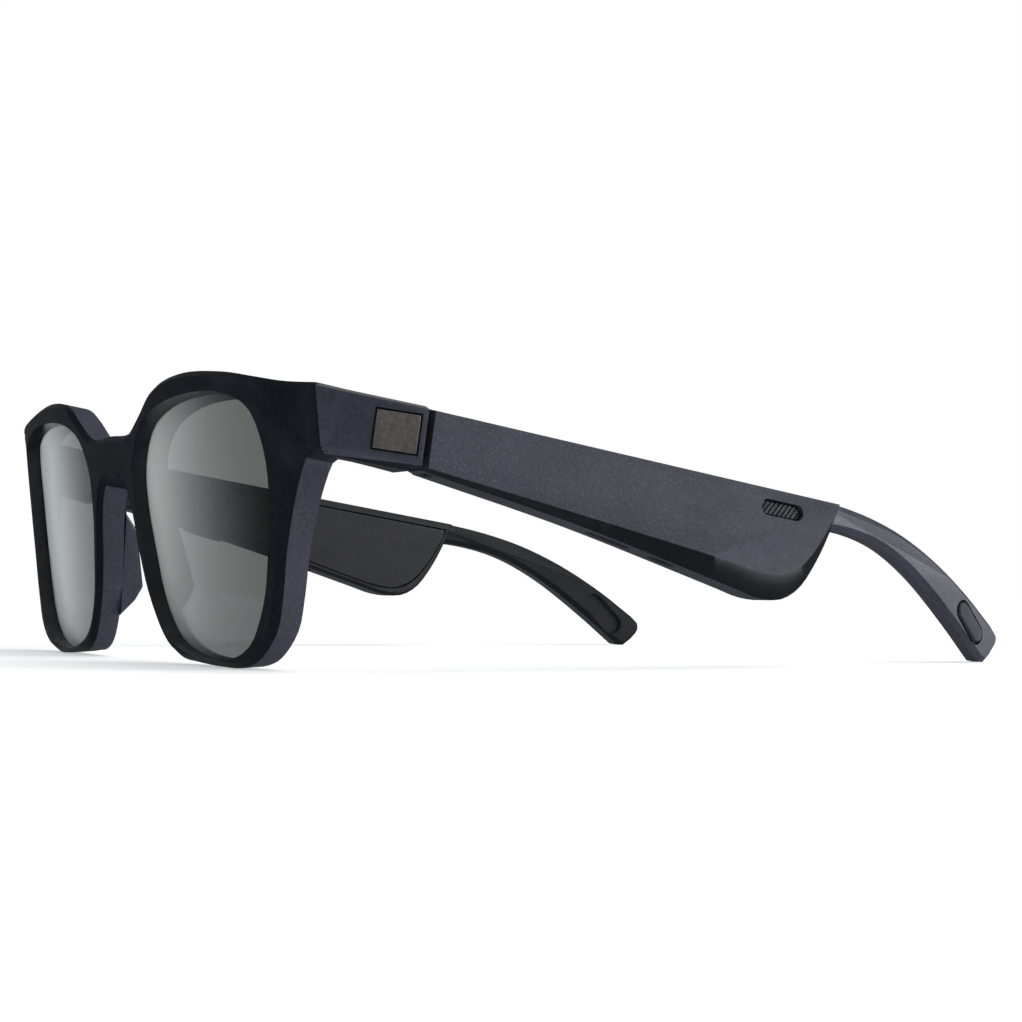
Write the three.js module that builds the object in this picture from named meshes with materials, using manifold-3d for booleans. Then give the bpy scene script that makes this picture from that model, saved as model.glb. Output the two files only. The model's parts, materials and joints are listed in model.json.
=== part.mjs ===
// Audio sunglasses: a wrapped front with two lenses, and two folding temples that each
// hold a speaker, a battery and a circuit board. Millimetres.
//
// Everything is drawn in the worn frame: x to the wearer's left, y backwards along the
// temples, z up, with the temples level. The finished pair is then leaned on its rims and
// temple tips, as it stands on a table, with the origin under the middle of its box.
import * as THREE from 'three';
import { mergeVertices } from 'three/addons/utils/BufferGeometryUtils.js';
import { TessellateModifier } from 'three/addons/modifiers/TessellateModifier.js';
import { ConvexGeometry } from 'three/addons/geometries/ConvexGeometry.js';
import Module from 'manifold-3d';

const wasm = await Module();
wasm.setup();

// ---------------------------------------------------------------- driving dimensions
const HALF_WIDTH = 72.2; // middle of the bridge to the outer face of a temple
const CORNER_X = HALF_WIDTH - 6.2; // to the corner where the front turns back
const BRIDGE_GAP = 20.6; // between the two lens openings
const LENS_WIDTH = CORNER_X - 9.7 - BRIDGE_GAP / 2; // lens opening, nasal to temporal side
const LENS_HEIGHT = 42.4; // lens opening, bottom to top
const LENS_BOTTOM = 2.2; // height of the lens openings' lower edge
const FRONT_LEAN = THREE.MathUtils.degToRad(14.6); // top of the front leans forward
const WRAP_RADIUS = 467; // how the front bends around the face
const TURN_START = CORNER_X - 16; // from here outwards the front turns back more
const TURN_LENGTH = 8; // the turn is spread over this length
const TURN_SLOPE = 0.29; // extra slope after the turn
const FRONT_DEPTH = 6.6; // thickness of the front, rim and brow
const RIM_RISE = 0.2; // how much the lower rim's underside rises towards its rear
const RIM_THINNING = 0.8; // share of the depth behind the groove that the lower rim loses
const FRONT_BEVEL = 1;
const FOOT_Y = 4.9; // the front face would meet height zero here, at the middle
const GROOVE_START = 2.6; // lens groove, behind the front face
const GROOVE_WIDTH = 1.7;
const GROOVE_DEPTH = 0.7; // how far the groove is cut beyond the opening
const CLEAR = 0.3; // gap between pieces that sit against each other

const TEMPLE_TOP = LENS_BOTTOM + LENS_HEIGHT - 0.3; // level top edge of the temples
const CORNER_RISE = 0.9; // the endpieces rise this much from the hinge to the front corner
const TEMPLE_HEIGHT = 10; // at the hinge
const LOBE_DROP = 9.4; // how much deeper the temple is at its rear lobe
const TEMPLE_THICKNESS = 8;
const TEMPLE_LENGTH = 138.5; // hinge gap to the end of the tip
const LOBE_REACH = TEMPLE_LENGTH - 54.5; // hinge gap to the rear of the lobe's flat face
const HINGE_Y = 19.5; // the hinge axis, in the middle of the hinge gap
const HINGE_GAP = 1.2;
const HINGE_TILT = THREE.MathUtils.degToRad(3); // a folding temple's tip drops a little
const FACE_RISE = 2.2; // the outer face stands this far out of the chamfer around it
const HOOK_INSET = 2.2; // outer face of the ear hook, inside the lobe's face
const HOOK_THICKNESS = 4.8;
const HOOK_BEVEL = 1;
const HOOK_SLOPE = 0.17; // how far the ear hook runs inwards for each millimetre back
const HOOK_ROUND = 4; // how gently that run starts
const TOP_EDGE = 0.4; // small bevel along the temple's top edge
const INNER_EDGE = 0.7; // bevel along the temple's inner edges
const WALL = 2.2; // temple housing's side walls
const LEDGE = 1.5; // what is left of the wall around the inner cover
const COVER_THICKNESS = 1.2;
const UNDERSIDE_START = 0.35; // the temple's underside is this much higher at the hinge
const SOLID_END = 13; // solid block of the temple at the hinge, before its hollow

const BARREL_RADIUS = 1.6;
const SCREW_RADIUS = 0.6;
const SCREW_HEAD_RADIUS = 1.2;
const FIXING_RADIUS = 0.5; // shank of the screws that hold the hinge leaves
const FIXING_HEAD_RADIUS = 1.3;
const LEAF_THICKNESS = 1.1;
const LEAF_LENGTH = 10.5;
const KNUCKLE_HEIGHT = 2.1;

const FINE = 72; // points around a lens opening
const BEND_EDGE = 9; // longest edge in a front piece, so that it wraps smoothly

// ---------------------------------------------------------------- finishes
const finish = (color, roughness, metalness = 0) => (
  () => new THREE.MeshStandardMaterial({ color, roughness, metalness })
);
const glossBlack = finish(0x14161c, 0.16);
const satinSlate = finish(0x42464f, 0.48);
const smokedLens = finish(0x6a7672, 0.06);
const innerShell = finish(0x26282e, 0.55);
const plaque = finish(0x504b4c, 0.35);
const darkMesh = finish(0x18191c, 0.6, 0.5);
const badge = finish(0x565a66, 0.3);
const steel = finish(0x9a9ca0, 0.32, 0.9);
const darkNickel = finish(0x3c3d40, 0.3, 0.9);
const cellWrap = finish(0x8a8f98, 0.45, 0.3);
const boardGreen = finish(0x1c4a34, 0.5);
const speakerBlack = finish(0x1d1e21, 0.5, 0.2);
const softGasket = finish(0x2b2c2f, 0.85);
const buttonBlack = finish(0x202228, 0.4);
const lightWindow = finish(0x2c2d30, 0.2);

// ---------------------------------------------------------------- shape helpers
const v2 = (x, y) => new THREE.Vector2(x, y);

/** A smooth line through hand-placed points, as evenly spaced points. */
function smooth(points, count, closed = false) {
  const through = points.map((p) => new THREE.Vector3(p.x, p.y, 0));
  const curve = new THREE.CatmullRomCurve3(through, closed, 'centripetal');
  const spaced = curve.getSpacedPoints(count).map((p) => v2(p.x, p.y));
  return closed ? spaced.slice(0, -1) : spaced;
}

/** A closed outline moved inwards by a distance; a negative distance moves it outwards. */
function inset(outline, distance) {
  const turn = THREE.ShapeUtils.area(outline) > 0 ? 1 : -1;
  const normal = (a, b) => v2(b.y - a.y, a.x - b.x).normalize().multiplyScalar(turn);
  return outline.map((point, i) => {
    const before = normal(outline[(i + outline.length - 1) % outline.length], point);
    const after = normal(point, outline[(i + 1) % outline.length]);
    const middle = before.clone().add(after).normalize();
    return point.clone().addScaledVector(middle, -distance / Math.max(middle.dot(after), 0.5));
  });
}

/** The outline of a slot with round ends, centred on a point and turned by an angle. */
function capsule(length, width, centre = v2(0, 0), angle = 0, steps = 8) {
  const points = [];
  for (const end of [1, -1]) {
    for (let i = 0; i <= steps; i += 1) {
      const a = (end > 0 ? -Math.PI / 2 : Math.PI / 2) + (Math.PI * i) / steps;
      const x = (end * (length - width)) / 2 + (Math.cos(a) * width) / 2;
      points.push(v2(x, (Math.sin(a) * width) / 2).rotateAround(v2(0, 0), angle).add(centre));
    }
  }
  return points;
}

/** A closed solid through rings of equal size, each a list of points in space. */
function loft(rings, flatten) {
  const size = rings[0].length;
  const index = [];
  for (let r = 0; r < rings.length - 1; r += 1) {
    for (let i = 0; i < size; i += 1) {
      const [a, b] = [r * size + i, r * size + ((i + 1) % size)];
      index.push(a, b, b + size, a, b + size, a + size);
    }
  }
  const last = (rings.length - 1) * size;
  for (const [a, b, c] of THREE.ShapeUtils.triangulateShape(rings[0].map(flatten), [])) {
    index.push(c, b, a);
  }
  for (const [a, b, c] of THREE.ShapeUtils.triangulateShape(rings.at(-1).map(flatten), [])) {
    index.push(a + last, b + last, c + last);
  }
  if (THREE.ShapeUtils.area(rings[0].map(flatten)) < 0) index.reverse();
  const geometry = new THREE.BufferGeometry().setFromPoints(rings.flat());
  geometry.setIndex(index);
  return geometry;
}

/** A side outline (y, z) carried across the temple through pairs of outline and x. */
function acrossX(layers) {
  const rings = layers.map(([outline, x]) => outline.map((p) => new THREE.Vector3(x, p.x, p.y)));
  return loft(rings, (p) => v2(p.y, p.z));
}

/** A plan outline (x, y) carried upwards through pairs of outline and z. */
function upwards(layers) {
  const rings = layers.map(([outline, z]) => outline.map((p) => new THREE.Vector3(p.x, p.y, z)));
  return loft(rings, (p) => v2(p.x, p.y));
}

/** A front outline (x, z) carried backwards through pairs of outline and depth. */
function backwards(layers) {
  const rings = layers.map(([outline, y]) => outline.map((p) => new THREE.Vector3(p.x, y, p.y)));
  return loft(rings, (p) => v2(p.x, -p.z));
}

/** A block between two corners. */
function block(x0, x1, y0, y1, z0, z1) {
  const box = new THREE.BoxGeometry(x1 - x0, y1 - y0, z1 - z0);
  return box.translate((x0 + x1) / 2, (y0 + y1) / 2, (z0 + z1) / 2);
}

/** A round rod between two points. */
function rod(radius, from, to, sides = 16) {
  const run = new THREE.Vector3().subVectors(to, from);
  const round = new THREE.CylinderGeometry(radius, radius, run.length(), sides);
  const turn = new THREE.Quaternion();
  turn.setFromUnitVectors(new THREE.Vector3(0, 1, 0), run.clone().normalize());
  return round.applyQuaternion(turn).translate(...from.clone().addScaledVector(run, 0.5).toArray());
}

const at = (x, y, z) => new THREE.Vector3(x, y, z);

// ---------------------------------------------------------------- joining and cutting
/** Welds a geometry's shared corners, so that it is one closed surface. */
function weld(geometry) {
  const bare = geometry.clone();
  bare.deleteAttribute('normal');
  bare.deleteAttribute('uv');
  return mergeVertices(bare, 1e-4);
}

/** A closed geometry as a solid that can be joined and cut. */
function toSolid(geometry) {
  const { attributes, index } = weld(geometry);
  const triVerts = [];
  for (let i = 0; i < index.count; i += 3) {
    const [a, b, c] = [index.getX(i), index.getX(i + 1), index.getX(i + 2)];
    if (a !== b && b !== c && c !== a) triVerts.push(a, b, c);
  }
  const vertProperties = Float32Array.from(attributes.position.array);
  return new wasm.Manifold(new wasm.Mesh({
    numProp: 3, vertProperties, triVerts: Uint32Array.from(triVerts),
  }));
}

/** A solid as a geometry. */
function toGeometry(solid) {
  const { vertProperties, triVerts } = solid.getMesh();
  const geometry = new THREE.BufferGeometry();
  geometry.setAttribute('position', new THREE.BufferAttribute(Float32Array.from(vertProperties), 3));
  geometry.setIndex(new THREE.BufferAttribute(Uint32Array.from(triVerts), 1));
  return geometry;
}

const join = (first, ...others) => (
  toGeometry(others.reduce((sum, other) => sum.add(toSolid(other)), toSolid(first)))
);
const cut = (first, ...others) => (
  toGeometry(others.reduce((rest, other) => rest.subtract(toSolid(other)), toSolid(first)))
);
const common = (first, second) => toGeometry(toSolid(first).intersect(toSolid(second)));

/** A geometry whose long edges are divided, so that it can bend smoothly. */
const divide = (geometry) => new TessellateModifier(BEND_EDGE, 12).modify(weld(geometry));

/** Moves every point of a geometry by a function. */
function bend(geometry, move) {
  const bent = weld(geometry);
  const place = bent.attributes.position;
  const point = new THREE.Vector3();
  for (let i = 0; i < place.count; i += 1) {
    move(point.fromBufferAttribute(place, i));
    place.setXYZ(i, point.x, point.y, point.z);
  }
  return bent;
}

/** The same piece on the wearer's other side. */
function mirrored(geometry) {
  const copy = weld(geometry).scale(-1, 1, 1);
  copy.setIndex(Array.from(copy.index.array).reverse());
  return copy;
}

// ---------------------------------------------------------------- the front
const innerX = HALF_WIDTH - TEMPLE_THICKNESS; // inner face of endpieces and temples
const templeBottom = TEMPLE_TOP - TEMPLE_HEIGHT;
const gapFront = HINGE_Y - HINGE_GAP / 2; // rear face of the endpieces
const gapRear = HINGE_Y + HINGE_GAP / 2; // front face of the temples

/** A place on one eye: u runs from the nose to the temple, v from bottom to top. */
const eye = (u, v, dx = 0, dz = 0) => (
  v2(BRIDGE_GAP / 2 + u * LENS_WIDTH + dx, LENS_BOTTOM + v * LENS_HEIGHT + dz)
);

const openingOutline = smooth([
  eye(0, 0.58), eye(0.006, 0.75), eye(0.095, 0.89), eye(0.25, 0.963), eye(0.51, 1),
  eye(0.776, 0.984), eye(0.933, 0.92), eye(0.99, 0.785), eye(1, 0.626), eye(0.97, 0.4),
  eye(0.922, 0.215), eye(0.83, 0.078), eye(0.69, 0.013), eye(0.515, 0), eye(0.33, 0.021),
  eye(0.18, 0.087), eye(0.08, 0.226), eye(0.03, 0.416),
], FINE, true);

/** The wearer's left half of the front's outline, from the bridge top round to the arch. */
function halfFrontOutline() {
  const bridgeTop = LENS_BOTTOM + 0.89 * LENS_HEIGHT;
  const brow = smooth([
    v2(0, bridgeTop), v2(0.87 * (BRIDGE_GAP / 2), bridgeTop), eye(0.09, 0.955),
    eye(0.23, 1, 0, 2),
    eye(0.45, 1, 0, 3.6), eye(0.75, 1, 0.2, 2.9), eye(1, 1, -2.3, 1.6), eye(1, 1, 3.7, 0.8),
    v2(CORNER_X, TEMPLE_TOP + CORNER_RISE),
  ], 40);
  const lower = smooth([
    v2(CORNER_X, templeBottom + CORNER_RISE), v2(CORNER_X - 2.6, templeBottom + 0.1),
    eye(1, 0.684, 5.3),
    eye(1, 0.58, 3.6), eye(0.98, 0.417, 2.4), eye(0.935, 0.255, 2.9), eye(0.88, 0.123, 3.4),
    eye(0.8, 0.024, 2.5), eye(0.7, 0, 1.5, -0.8), eye(0.54, 0, 0.8, -1), eye(0.4, 0, -0.7, -0.6),
    eye(0.265, 0, -0.3, 0), eye(0.172, 0.066, -0.5, -0.5), eye(0.057, 0.231, -0.6, -0.2),
    eye(-0.017, 0.413), eye(-0.054, 0.58), eye(-0.107, 0.682),
    v2(0, LENS_BOTTOM + 0.727 * LENS_HEIGHT),
  ], 64);
  return [...brow, ...lower];
}

/** The whole front's outline, in the plane of its face. */
function frontOutline() {
  const left = halfFrontOutline();
  const right = left.slice(1, -1).reverse().map((p) => v2(-p.x, p.y));
  return [...left, ...right];
}

/** How far the front stands back at a distance from the middle. */
function sweepAt(x) {
  const past = Math.max(0, Math.abs(x) - TURN_START);
  const turned = Math.min(past, TURN_LENGTH);
  const turn = TURN_SLOPE * (turned ** 2 / (2 * TURN_LENGTH) + (past - turned));
  return (x * x) / (2 * WRAP_RADIUS) + turn;
}

/** How low a height is in the rims: nothing at the temples' underside, one at the bottom. */
const lowness = (z) => Math.max(0, 1 - z / templeBottom);

/** Leans and wraps a piece drawn flat, with y as the depth behind the front face. */
function wrapFront(point) {
  const rise = point.y * RIM_RISE * lowness(point.z);
  point.y += FOOT_Y - point.z * Math.tan(FRONT_LEAN) + sweepAt(point.x);
  point.z += rise;
}

/** A depth in the front's plate, whose rims get thinner towards the bottom. */
function thinned(depth, z) {
  const low = lowness(z);
  const behind = Math.max(0, depth - GROOVE_START - GROOVE_WIDTH);
  return depth - RIM_THINNING * low * (2 - low) * behind;
}

/** Thins and wraps the front's plate. */
function wrapPlate(point) {
  point.y = thinned(point.y, point.z);
  wrapFront(point);
}

const frontDepthAt = (x, z, depth) => {
  const point = at(x, depth, z);
  wrapFront(point);
  return point;
};

/** The plate of the front, with its openings and lens grooves cut, still flat. */
function flatFront() {
  const outline = frontOutline();
  const edge = inset(outline, FRONT_BEVEL);
  const plate = backwards([
    [edge, 0], [outline, FRONT_BEVEL], [outline, FRONT_DEPTH - FRONT_BEVEL], [edge, FRONT_DEPTH],
  ]);
  const hole = backwards([[openingOutline, -1], [openingOutline, FRONT_DEPTH + 1]]);
  const grooved = inset(openingOutline, -GROOVE_DEPTH);
  const groove = backwards([[grooved, GROOVE_START], [grooved, GROOVE_START + GROOVE_WIDTH]]);
  return cut(plate, hole, mirrored(hole), groove, mirrored(groove));
}

/** One endpiece: it runs back from the front's corner to the hinge gap. */
function endpiece() {
  const plan = (z) => {
    const corner = frontDepthAt(CORNER_X, z, 0.6);
    const root = frontDepthAt(CORNER_X - 8.2, z, FRONT_DEPTH - 1);
    const anchor = frontDepthAt(CORNER_X - 8.2, z, 2);
    const inner = smooth([
      v2(innerX, gapFront - 4), v2(innerX - 0.7, gapFront - 8.7),
      v2(innerX - 3.2, (gapFront - 8.7 + root.y) / 2 - 0.6), v2(root.x, root.y),
    ], 9);
    return [
      v2(corner.x, corner.y), v2(HALF_WIDTH, gapFront), v2(innerX, gapFront), ...inner,
      v2(anchor.x, anchor.y),
    ];
  };
  const bottom = templeBottom - 0.2;
  const [low, high] = [plan(bottom), plan(TEMPLE_TOP)];
  const level = (t) => low.map((p, i) => p.clone().lerp(high[i], t));
  const body = upwards([
    [inset(level(0), FRONT_BEVEL), bottom],
    [level(FRONT_BEVEL / TEMPLE_HEIGHT), bottom + FRONT_BEVEL],
    [level(1 - TOP_EDGE / TEMPLE_HEIGHT), TEMPLE_TOP - TOP_EDGE],
    [inset(level(1), TOP_EDGE), TEMPLE_TOP],
  ]);
  const run = gapFront - frontDepthAt(CORNER_X, TEMPLE_TOP, 0).y;
  return bend(body, (point) => {
    point.z += CORNER_RISE * Math.min(1, (gapFront - point.y) / run);
  });
}

/** One nose pad: a wedge moulded on the nasal rim, which splays towards the back. */
function nosePad() {
  const rimTop = eye(-0.03, 0.58);
  const rimEnd = eye(0.07, 0.17);
  const padTop = eye(0, 0.48);
  const padEnd = eye(0.035, 0.29);
  const rootDepth = (p, sunk) => thinned(FRONT_DEPTH, p.y) - sunk;
  const points = [];
  for (const [top, end, radius, topDepth, endDepth] of [
    [rimTop, rimEnd, 0.95, rootDepth(rimTop, 0.28), rootDepth(rimEnd, 0.5)],
    [padTop, padEnd, 0.8, FRONT_DEPTH + 1.4, FRONT_DEPTH + 2],
    [padTop.clone().lerp(rimTop, 0.4), padEnd.clone().lerp(rimEnd, 0.4), 1.2,
      FRONT_DEPTH + 0.8, FRONT_DEPTH + 0.6],
  ]) {
    const along = Math.atan2(top.y - end.y, top.x - end.x);
    const middle = top.clone().add(end).multiplyScalar(0.5);
    const ring = capsule(top.distanceTo(end) + 2 * radius, 2 * radius, middle, along, 6);
    points.push(...ring.map((p) => {
      const part = (p.y - end.y) / (top.y - end.y);
      return frontDepthAt(p.x, p.y, THREE.MathUtils.lerp(endDepth, topDepth, part));
    }));
  }
  return new ConvexGeometry(points);
}

// ---------------------------------------------------------------- the hinge
const hingeX = innerX - 0.2;
const barrelMiddle = (TEMPLE_TOP + templeBottom) / 2;
const hingeHalf = 1.5 * KNUCKLE_HEIGHT + CLEAR;
const leafFace = innerX + 0.1; // inner face of both leaves, almost flush
const leafBack = leafFace + LEAF_THICKNESS;
const leafNear = BARREL_RADIUS + 0.4; // the leaves' plates start this far from the axis

/** Leans a hinge piece with the hinge's axis. */
function tilted(geometry) {
  const centre = at(hingeX, HINGE_Y, barrelMiddle);
  return geometry.translate(-centre.x, -centre.y, -centre.z)
    .rotateX(HINGE_TILT).translate(...centre.toArray());
}

/** Cuts a place for the barrel and one leaf; side is -1 in the endpiece, 1 in the temple. */
function hingePocket(side) {
  const ends = [HINGE_Y, HINGE_Y + side * (LEAF_LENGTH + CLEAR)].sort((a, b) => a - b);
  const plate = block(
    innerX - 2, leafBack + CLEAR, ...ends,
    barrelMiddle - hingeHalf - CLEAR, barrelMiddle + hingeHalf + CLEAR,
  );
  const barrel = rod(
    BARREL_RADIUS + 0.4, at(hingeX, HINGE_Y, templeBottom - 1),
    at(hingeX, HINGE_Y, TEMPLE_TOP + 1), 24,
  );
  return [plate, barrel, fixingHole(side)].map(tilted);
}

const fixingY = (side) => HINGE_Y + side * (LEAF_LENGTH - 3.6);

/** Where the shank of a leaf's screw ends: the front one stops at the inlay's seat. */
const fixingEnd = (side) => (side < 0 ? inlaySeatAt(fixingY(side)) : leafBack + 3);

/** The hole behind a leaf, for the screw that holds it. */
function fixingHole(side) {
  const y = fixingY(side);
  const foot = at(fixingEnd(side) + CLEAR + 0.1, y, barrelMiddle);
  return rod(FIXING_RADIUS + CLEAR, at(innerX - 1, y, barrelMiddle), foot, 12);
}

/** One leaf with its knuckles; side is -1 for the front leaf, 1 for the temple leaf. */
function hingeLeaf(side, knuckles) {
  const [near, far] = [HINGE_Y + side * leafNear, HINGE_Y + side * LEAF_LENGTH];
  const plate = block(
    leafFace, leafBack, Math.min(near, far), Math.max(near, far),
    barrelMiddle - hingeHalf, barrelMiddle + hingeHalf,
  );
  const parts = knuckles.flatMap((level) => {
    const z0 = barrelMiddle + (level - 0.5) * KNUCKLE_HEIGHT + level * CLEAR;
    const z1 = z0 + KNUCKLE_HEIGHT;
    const neckEnd = HINGE_Y + side * (leafNear + 1);
    return [
      rod(BARREL_RADIUS, at(hingeX, HINGE_Y, z0), at(hingeX, HINGE_Y, z1), 20),
      block(leafFace, leafBack, Math.min(HINGE_Y, neckEnd), Math.max(HINGE_Y, neckEnd), z0, z1),
    ];
  });
  const bore = rod(
    SCREW_RADIUS + CLEAR, at(hingeX, HINGE_Y, templeBottom - 2),
    at(hingeX, HINGE_Y, TEMPLE_TOP + 2), 16,
  );
  const y = fixingY(side);
  const hole = rod(
    FIXING_RADIUS + CLEAR, at(leafFace - 1, y, barrelMiddle), at(leafBack + 1, y, barrelMiddle), 12,
  );
  const sink = rod(
    FIXING_HEAD_RADIUS + CLEAR, at(leafFace - 1, y, barrelMiddle),
    at(leafFace + 0.6, y, barrelMiddle), 16,
  );
  return tilted(cut(join(plate, ...parts), bore, hole, sink));
}

/** The screw on the hinge axis: a slotted head above the upper knuckle and a plain shank. */
function hingeScrew() {
  const top = barrelMiddle + hingeHalf + CLEAR;
  const foot = at(hingeX, HINGE_Y, top - 2 * hingeHalf - CLEAR);
  const shank = rod(SCREW_RADIUS, foot, at(hingeX, HINGE_Y, top + 0.2));
  const head = rod(SCREW_HEAD_RADIUS, at(hingeX, HINGE_Y, top), at(hingeX, HINGE_Y, top + 0.7), 20);
  const slot = block(hingeX - 2, hingeX + 2, HINGE_Y - 0.15, HINGE_Y + 0.15, top + 0.4, top + 1);
  return tilted(cut(join(shank, head), slot));
}

/** The screw that holds one leaf. */
function fixingScrew(side) {
  const y = fixingY(side);
  const under = at(leafFace + 0.3, y, barrelMiddle);
  const shank = rod(
    FIXING_RADIUS, at(leafFace + 0.1, y, barrelMiddle), at(fixingEnd(side), y, barrelMiddle), 12,
  );
  const head = rod(FIXING_HEAD_RADIUS, at(leafFace - 0.2, y, barrelMiddle), under, 16);
  const slot = block(
    leafFace - 1, leafFace, y - 0.15, y + 0.15, barrelMiddle - 2, barrelMiddle + 2,
  );
  return tilted(cut(join(shank, head), slot));
}

// ---------------------------------------------------------------- the temple
const lobeY = gapRear + LOBE_REACH; // rear of the lobe's flat face, at its top
const lobeBottom = templeBottom - LOBE_DROP;
const tipY = gapRear + TEMPLE_LENGTH;
const hookRun = tipY - lobeY;

/** The temple body's outline: its level top, its sloping underside and the round lobe. */
function bodyOutlineTo(drop, rear, top, rise = 0) {
  const low = templeBottom - drop + rise;
  const lobe = (back, part) => v2(rear - back, THREE.MathUtils.lerp(low, top, part));
  const underside = smooth([
    v2(gapRear, templeBottom + UNDERSIDE_START + 0.06 * (LOBE_DROP - drop) + rise),
    v2(gapRear + 0.36 * LOBE_REACH, templeBottom - 0.33 * drop + rise), lobe(23, 0.06),
    lobe(16.5, 0.008),
    lobe(11.5, 0.03), lobe(7.6, 0.16), lobe(4.4, 0.41), lobe(1.9, 0.7), lobe(0, 1),
  ], 56);
  return [v2(gapRear, top), ...underside];
}

const bodyOutline = bodyOutlineTo(LOBE_DROP, lobeY + 2, TEMPLE_TOP);
const faceOutline = bodyOutlineTo(LOBE_DROP - 4.2, lobeY, TEMPLE_TOP - TOP_EDGE);

/** The ear hook's outline: slim behind the lobe, bent down, with a blunt rounded tip. */
function hookOutline() {
  const place = (run, drop) => v2(lobeY + run * hookRun, TEMPLE_TOP - drop);
  const upper = smooth([
    place(-0.12, 0), place(0.05, 0.05), place(0.22, 0.7), place(0.4, 2.3), place(0.6, 5.5),
    place(0.8, 10.1), place(0.97, 15),
  ], 24);
  const end = smooth([
    place(1.005, 16.4), place(1.01, 17.9), place(0.985, 20.2), place(0.945, 22.3),
  ], 9);
  const lower = smooth([
    place(0.91, 22.3), place(0.74, 16.6), place(0.5, 9.6), place(0.3, 5.8),
    place(0.12, 4.6), place(-0.12, 5.2),
  ], 24);
  return [...upper, ...end, ...lower].reverse();
}

/** Bends a temple piece inwards behind the ear. */
function bendTemple(point) {
  const past = Math.max(0, point.y - coverEnd);
  point.x -= HOOK_SLOPE * (Math.hypot(past, HOOK_ROUND) - HOOK_ROUND);
}

/** The body's shape moved inwards by a distance, between two places along the temple. */
function bodySlice(distance, start, end, x0, x1) {
  const outline = bodyOutlineTo(LOBE_DROP, lobeY + 2 - distance, TEMPLE_TOP - distance, distance);
  const slice = block(x0 - 1, x1 + 1, start, end, 0, 2 * TEMPLE_TOP);
  return common(acrossX([[outline, x0], [outline, x1]]), slice);
}

const portCentre = v2(gapRear + 71, TEMPLE_TOP - 3.6);
const cavityStart = gapRear + SOLID_END;
const cavityEnd = lobeY - 1.5;
const coverStart = cavityStart - 1.6; // ends of the recess that takes the inner cover
const coverEnd = cavityEnd + 1.6;
const cavityBack = HALF_WIDTH - FACE_RISE - 0.2; // outer wall of the hollow
const cavityFront = innerX + COVER_THICKNESS + CLEAR; // just under the inner cover
const badgeCentre = v2(lobeY + 0.82 * hookRun, TEMPLE_TOP - 15.4);
const badgeAngle = -0.66;

/** How far the underside drops per millimetre along the temple, ahead of the lobe. */
const undersideSlope = (0.33 * LOBE_DROP + UNDERSIDE_START) / (0.36 * LOBE_REACH);
const undersideAt = (y) => templeBottom + UNDERSIDE_START - undersideSlope * (y - gapRear);

const BUTTON_WIDTH = cavityBack - cavityFront - 1.1;
const BUTTON_FLANGE = 0.4; // how far the flange stands out around the button
const slotX = cavityFront + BUTTON_WIDTH / 2 + BUTTON_FLANGE; // middle of the underside's slots
const SLOT_LENGTH = 9.6; // the slot in the outer face, for the sound that leaves backwards
const SLOT_WIDTH = 2.8;
const PORT_WIDTH = 2.2; // the slots in the underside

/** A slot cut up into the underside: its plan outline, drawn level at one height. */
function undersideSlot(y, length, width, z0, z1) {
  const outline = capsule(length, width, v2(0, 0), Math.PI / 2, 6).map((p) => p.add(v2(slotX, 0)));
  const slot = upwards([[outline, z0], [outline, z1]]);
  slot.rotateX(-Math.atan(undersideSlope));
  return slot.translate(0, y, undersideAt(y));
}

const undersidePorts = [
  { name: 'sound_port_mesh', y: gapRear + 38, length: 9 },
  { name: 'vent_port_mesh', y: gapRear + 49.5, length: 5.6 },
];

/** The temple housing: body, lobe and hook, hollow behind the inner cover. */
function templeHousing(isRight) {
  const body = acrossX([
    [inset(bodyOutline, INNER_EDGE), innerX], [bodyOutline, innerX + INNER_EDGE],
    [bodyOutline, HALF_WIDTH - FACE_RISE], [faceOutline, HALF_WIDTH],
  ]);
  const hookFace = HALF_WIDTH - HOOK_INSET;
  const hookInner = hookFace - HOOK_THICKNESS;
  const outline = hookOutline();
  const hook = acrossX([
    [inset(outline, HOOK_BEVEL), hookInner], [outline, hookInner + HOOK_BEVEL],
    [outline, hookFace - HOOK_BEVEL], [inset(outline, HOOK_BEVEL), hookFace],
  ]);
  const tipRecess = capsule(12, 5, badgeCentre, badgeAngle);
  const badgeSeat = capsule(10.6, 4.2, badgeCentre, badgeAngle);
  const port = capsule(SLOT_LENGTH, SLOT_WIDTH, portCentre);
  const cuts = [
    bodySlice(WALL, cavityStart, cavityEnd, innerX - 1, cavityBack),
    bodySlice(LEDGE, coverStart, coverEnd, innerX - 1, cavityFront),
    acrossX([[port, cavityBack - 1], [port, HALF_WIDTH + 1]]),
    acrossX([[badgeSeat, hookFace - 0.9], [badgeSeat, hookFace + 1]]),
    acrossX([[tipRecess, hookInner - 1], [tipRecess, hookInner + 0.8]]),
    ...undersidePorts.map(({ y, length }) => undersideSlot(y, length, PORT_WIDTH, -3, 4)),
    block(slotX - 1.5, slotX + 1.5, gapRear + 1.2, gapRear + 3, templeBottom - 1, templeBottom + 1.2),
  ];
  if (isRight) cuts.push(...rightOnlyCuts());
  const flat = cut(join(body, hook), ...cuts);
  return cut(bend(flat, bendTemple), ...hingePocket(1));
}

/** The cover that closes the temple's hollow on the side of the head. */
function innerCover(isRight) {
  const plate = bodySlice(
    LEDGE + CLEAR, coverStart + CLEAR, coverEnd - CLEAR, innerX, innerX + COVER_THICKNESS,
  );
  const cuts = isRight ? [contactWindow(CLEAR), statusWindow(CLEAR)] : [];
  return bend(cuts.length ? cut(plate, ...cuts) : plate, bendTemple);
}

// ---------------------------------------------------------------- inside the temple
const packFront = cavityFront + CLEAR; // where the inner pieces start, across the temple
const packBack = cavityBack - CLEAR;

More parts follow.
